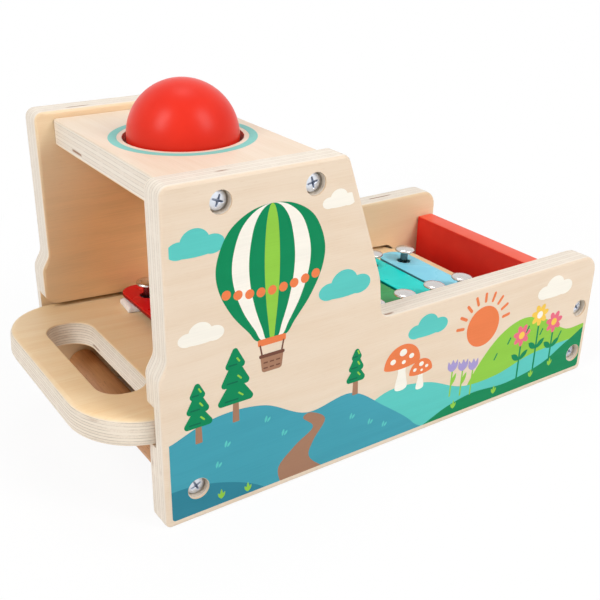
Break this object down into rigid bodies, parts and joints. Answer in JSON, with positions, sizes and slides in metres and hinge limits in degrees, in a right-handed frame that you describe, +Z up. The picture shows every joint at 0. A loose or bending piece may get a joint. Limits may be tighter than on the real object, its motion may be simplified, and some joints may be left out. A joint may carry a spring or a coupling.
{
  "type": "ball drop xylophone",
  "caption": "Wooden toy tower and trough: a ball pushed through the tower's top falls on coloured metal bars, on a sloping board that slides out, and rolls to an end wall.",
  "frame": {"origin": "on the ground, under the middle of the whole object's box", "axes": "+X along the trough from the handle to the end wall, -Y out of the printed front panel, +Z up"},
  "size_m": [0.2576, 0.129, 0.1547],
  "materials": {
    "birch": "clear-lacquered birch plywood",
    "printed_birch": "clear-lacquered birch plywood with a printed outer face",
    "wall_paint": "red satin paint on wood",
    "ball_paint": "red gloss paint on turned wood",
    "silicone": "soft silicone rubber",
    "felt": "pressed white felt",
    "enamel_red": "gloss enamel",
    "enamel_orange": "gloss enamel",
    "enamel_amber": "gloss enamel",
    "enamel_yellow": "gloss enamel",
    "enamel_lime": "gloss enamel",
    "enamel_green": "gloss enamel",
    "enamel_turquoise": "gloss enamel",
    "enamel_light_blue": "gloss enamel",
    "pin_chrome": "bright nickel plate",
    "screw_steel": "zinc-plated steel"
  },
  "bodies": {
    "frame": {"front_panel": "printed_birch", "back_panel": "birch", "top_shelf": "birch", "cross_rail": "birch", "end_wall": "wall_paint", "grip_ring": "silicone", "screw_front_shelf_left": "screw_steel", "screw_front_shelf_right": "screw_steel", "screw_front_wall_upper": "screw_steel", "screw_front_wall_lower": "screw_steel", "screw_front_rail": "screw_steel", "screw_back_shelf_left": "screw_steel", "screw_back_shelf_right": "screw_steel", "screw_back_wall_upper": "screw_steel", "screw_back_wall_lower": "screw_steel", "screw_back_rail": "screw_steel"},
    "xylophone": {"xylophone_board": "birch", "felt_front": "felt", "felt_back": "felt", "bar_1_red": "enamel_red", "bar_2_orange": "enamel_orange", "bar_3_amber": "enamel_amber", "bar_4_yellow": "enamel_yellow", "bar_5_lime": "enamel_lime", "bar_6_green": "enamel_green", "bar_7_turquoise": "enamel_turquoise", "bar_8_light_blue": "enamel_light_blue", "pin_front_1": "pin_chrome", "pin_front_2": "pin_chrome", "pin_front_3": "pin_chrome", "pin_front_4": "pin_chrome", "pin_front_5": "pin_chrome", "pin_front_6": "pin_chrome", "pin_front_7": "pin_chrome", "pin_front_8": "pin_chrome", "pin_back_1": "pin_chrome", "pin_back_2": "pin_chrome", "pin_back_3": "pin_chrome", "pin_back_4": "pin_chrome", "pin_back_5": "pin_chrome", "pin_back_6": "pin_chrome", "pin_back_7": "pin_chrome", "pin_back_8": "pin_chrome"},
    "ball": {"ball": "ball_paint"}
  },
  "joints": [
    {"name": "xylophone_slide", "type": "slide", "parent": "frame", "child": "xylophone", "axis": [-0.9982, 0, 0.0593], "range_m": [0, 0.215]},
    {"name": "ball_drop", "type": "slide", "parent": "frame", "child": "ball", "axis": [0, 0, 1], "range_m": [-0.0611, 0.03], "deforming": ["grip_ring"]}
  ]
}
